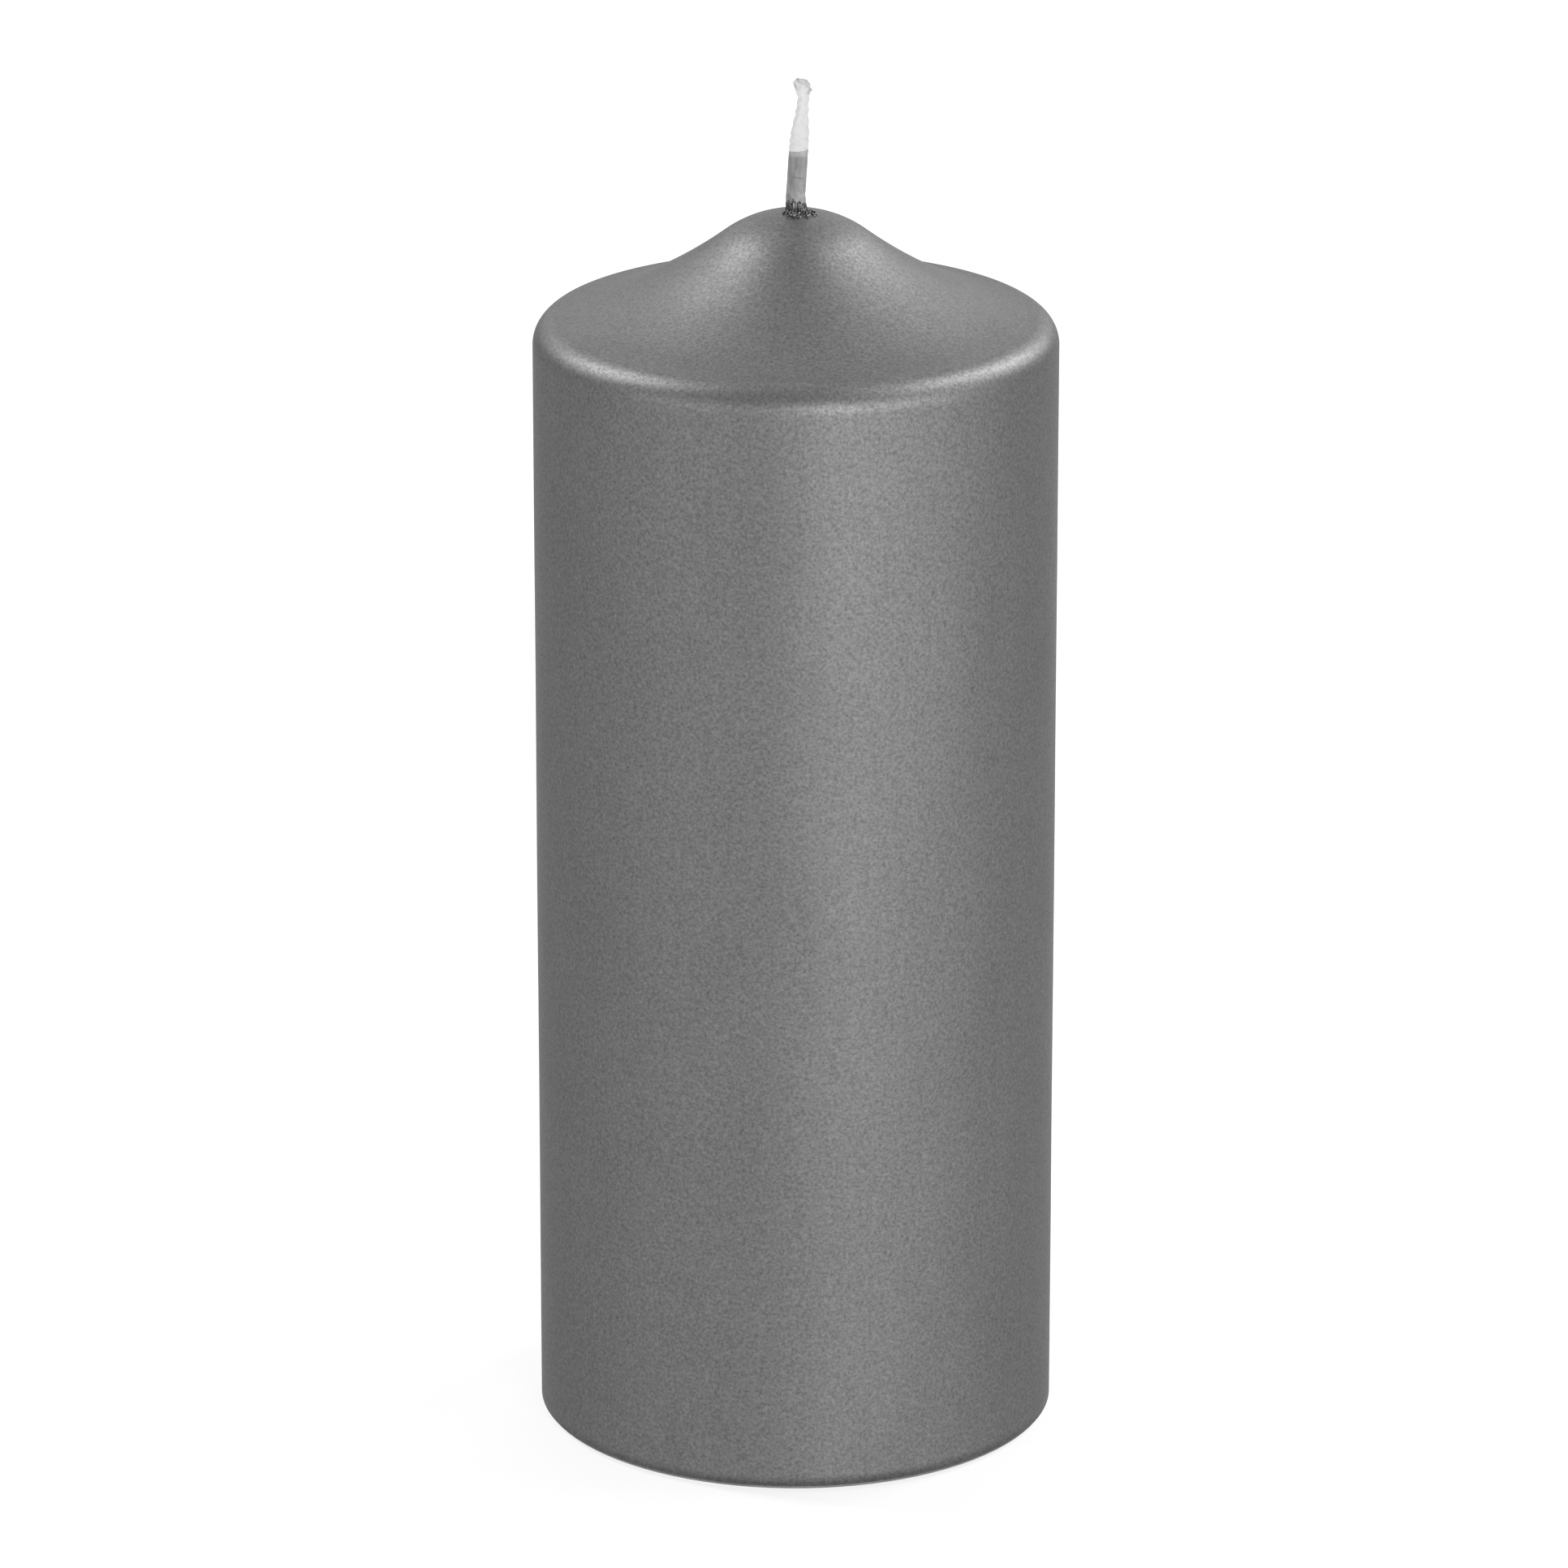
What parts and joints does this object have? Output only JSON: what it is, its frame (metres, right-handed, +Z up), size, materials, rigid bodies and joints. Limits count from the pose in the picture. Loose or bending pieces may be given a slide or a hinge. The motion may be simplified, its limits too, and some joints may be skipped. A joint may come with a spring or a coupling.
{
  "type": "pillar candle",
  "caption": "Round pillar candle with a nippled top and rounded shoulder, a metallic grey coat over a pressed wax core, and a flat braided cotton wick whose free end bends.",
  "frame": {"origin": "centre of the flat base, where the candle stands", "axes": "+Z up along the candle to the wick, -Y towards the viewer of its front, +X to the viewer's right, across the flat of the wick"},
  "size_m": [0.07, 0.07, 0.1865],
  "materials": {
    "pressed_wax": "white pressed paraffin granules, matt",
    "colour_wax": "grey dyed paraffin dip, satin",
    "metallic_lacquer": "fine-grained metallic grey lacquer, satin",
    "poured_wax": "white poured paraffin, smooth and slightly translucent",
    "cotton": "bleached flat-braided cotton, wax primed",
    "sustainer_steel": "tinned steel stamping",
    "dried_crumbs": "dried lacquer and wax crumbs, rough with bright specks",
    "wick_lacquer": "metallic lacquer soaked into cotton"
  },
  "bodies": {
    "candle": {"wax_core": "pressed_wax", "colour_dip_coat": "colour_wax", "lacquer_film": "metallic_lacquer", "bore_wax": "poured_wax", "wick_in_wax": "cotton", "wick_sustainer": "sustainer_steel", "base_seal": "poured_wax", "lacquer_crumbs": "dried_crumbs"},
    "wick_end": {"wick_free_end": "cotton", "wick_lacquer_sleeve": "wick_lacquer"}
  },
  "joints": [
    {"name": "wick_bend", "type": "hinge", "parent": "candle", "child": "wick_end", "pos_m": [0, 0, 0.17096], "axis": [1, 0, 0], "range_deg": [-80, 80]}
  ]
}
